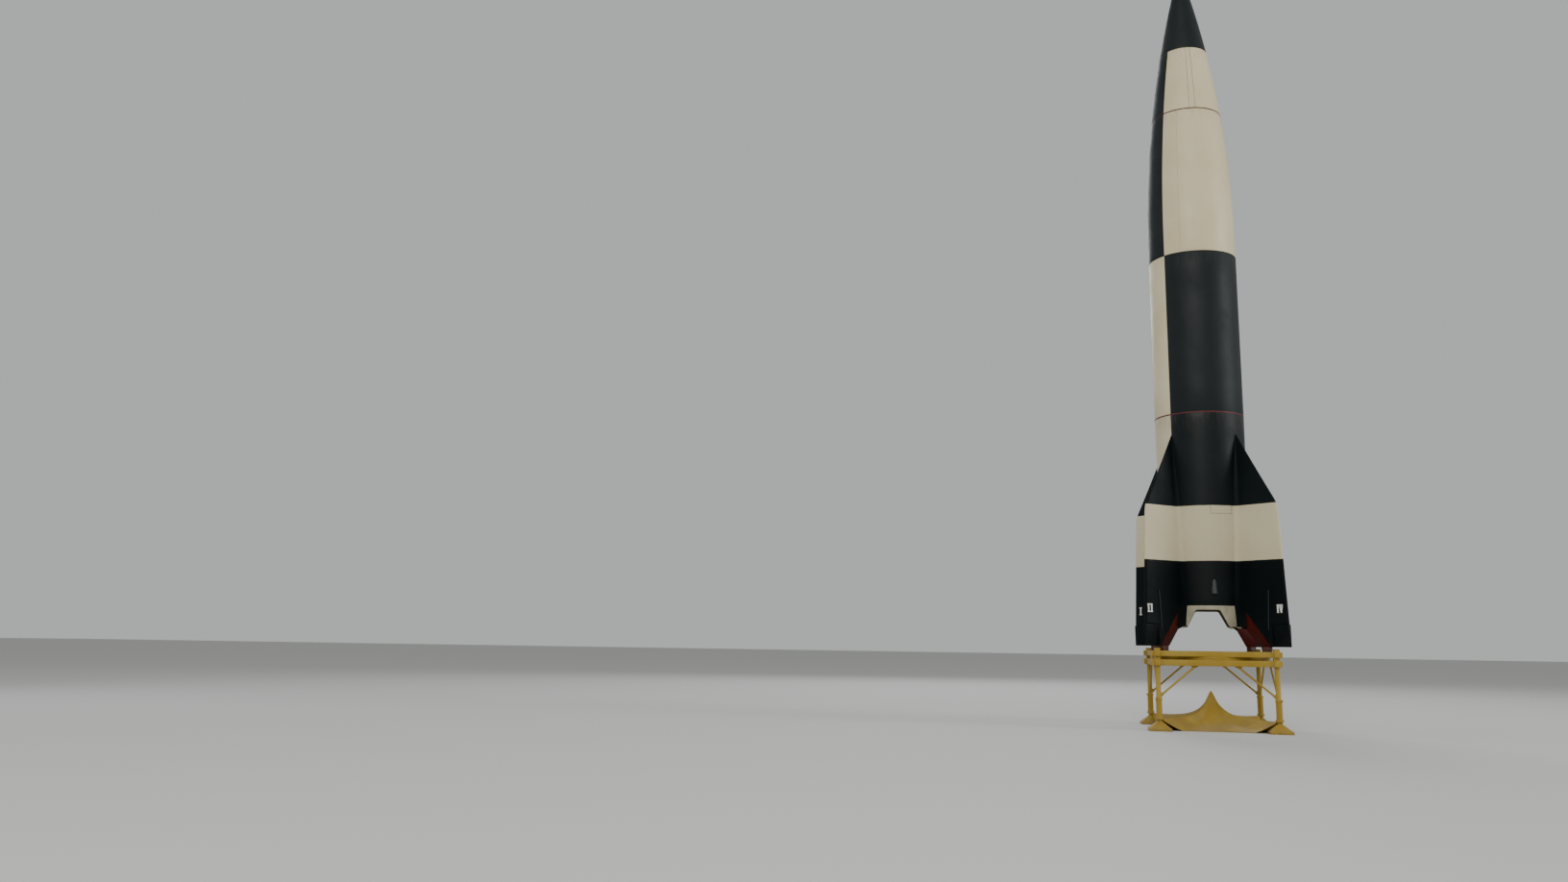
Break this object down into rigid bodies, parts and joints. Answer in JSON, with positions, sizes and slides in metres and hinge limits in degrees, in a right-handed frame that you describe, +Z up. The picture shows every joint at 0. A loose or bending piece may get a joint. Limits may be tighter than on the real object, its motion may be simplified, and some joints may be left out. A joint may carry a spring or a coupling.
{
  "type": "liquid-fuel rocket on launch stand",
  "caption": "Tall pointed rocket in black and white test paint with swept fins and hinged air rudders, standing on a yellow steel launch stand with telescopic legs and a blast deflector.",
  "frame": {"origin": "on the ground under the middle of the launch stand, on the rocket's long axis", "axes": "+Z up along the rocket; X and Y square to the stand's rails; the fins lie on the diagonals, fin 1 towards +X +Y and counted anticlockwise from above; the pictured side is -Y"},
  "size_m": [2.5374, 2.5374, 15.566],
  "materials": {
    "ivory_paint": "warm ivory-white gloss paint on sheet steel, lightly weathered",
    "black_paint": "satin blue-green black paint on sheet steel; the band across fins and tail and the tail's left half above it are ivory, the fins' inner trailing parts dark red",
    "red_paint": "dull dark red-brown primer paint on the fin bearers",
    "yellow_paint": "ochre-yellow paint on welded steel, worn at edges",
    "dark_steel": "heat-stained bare steel of the thrust chamber",
    "bare_steel": "dull bare steel"
  },
  "bodies": {
    "airframe": {"blast_deflector": "yellow_paint", "brace_back_a": "yellow_paint", "brace_back_b": "yellow_paint", "brace_front_a": "yellow_paint", "brace_front_b": "yellow_paint", "brace_left_a": "yellow_paint", "brace_left_b": "yellow_paint", "brace_right_a": "yellow_paint", "brace_right_b": "yellow_paint", "corner_post_1": "yellow_paint", "corner_post_2": "yellow_paint", "corner_post_3": "yellow_paint", "corner_post_4": "yellow_paint", "engine_block": "dark_steel", "fin_1": "black_paint", "fin_2": "black_paint", "fin_3": "black_paint", "fin_4": "black_paint", "fin_bearer_1": "red_paint", "fin_bearer_2": "red_paint", "fin_bearer_3": "red_paint", "fin_bearer_4": "red_paint", "foot_1": "yellow_paint", "foot_2": "yellow_paint", "foot_3": "yellow_paint", "foot_4": "yellow_paint", "instrument_shell_left": "black_paint", "instrument_shell_right": "ivory_paint", "leg_1": "yellow_paint", "leg_2": "yellow_paint", "leg_3": "yellow_paint", "leg_4": "yellow_paint", "lower_centre_shell_left": "ivory_paint", "lower_centre_shell_right": "black_paint", "lower_rail_back": "yellow_paint", "lower_rail_front": "yellow_paint", "lower_rail_left": "yellow_paint", "lower_rail_right": "yellow_paint", "nose_cone": "black_paint", "nose_tip": "bare_steel", "tail_cover_back": "black_paint", "tail_cover_front": "black_paint", "tail_shell": "black_paint", "tail_skirt_leaf_1": "ivory_paint", "tail_skirt_leaf_2": "ivory_paint", "tail_skirt_leaf_3": "ivory_paint", "tail_skirt_leaf_4": "ivory_paint", "tail_skirt_ring": "ivory_paint", "thrust_chamber": "dark_steel", "turntable_ring": "yellow_paint", "upper_centre_shell_left": "black_paint", "upper_centre_shell_right": "ivory_paint", "upper_rail_back": "yellow_paint", "upper_rail_front": "yellow_paint", "upper_rail_left": "yellow_paint", "upper_rail_right": "yellow_paint"},
    "rudder_1": {"rudder_1": "black_paint"},
    "rudder_2": {"rudder_2": "black_paint"},
    "rudder_3": {"rudder_3": "black_paint"},
    "rudder_4": {"rudder_4": "black_paint"}
  },
  "joints": [
    {"name": "rudder_1_hinge", "type": "hinge", "parent": "airframe", "child": "rudder_1", "pos_m": [1.01823, 1.01823, 1.898], "axis": [0.7071, 0.7071, 0], "range_deg": [-25, 25]},
    {"name": "rudder_2_hinge", "type": "hinge", "parent": "airframe", "child": "rudder_2", "pos_m": [-1.01823, 1.01823, 1.898], "axis": [-0.7071, 0.7071, 0], "range_deg": [-25, 25]},
    {"name": "rudder_3_hinge", "type": "hinge", "parent": "airframe", "child": "rudder_3", "pos_m": [-1.01823, -1.01823, 1.898], "axis": [-0.7071, -0.7071, 0], "range_deg": [-25, 25]},
    {"name": "rudder_4_hinge", "type": "hinge", "parent": "airframe", "child": "rudder_4", "pos_m": [1.01823, -1.01823, 1.898], "axis": [0.7071, -0.7071, 0], "range_deg": [-25, 25]}
  ]
}
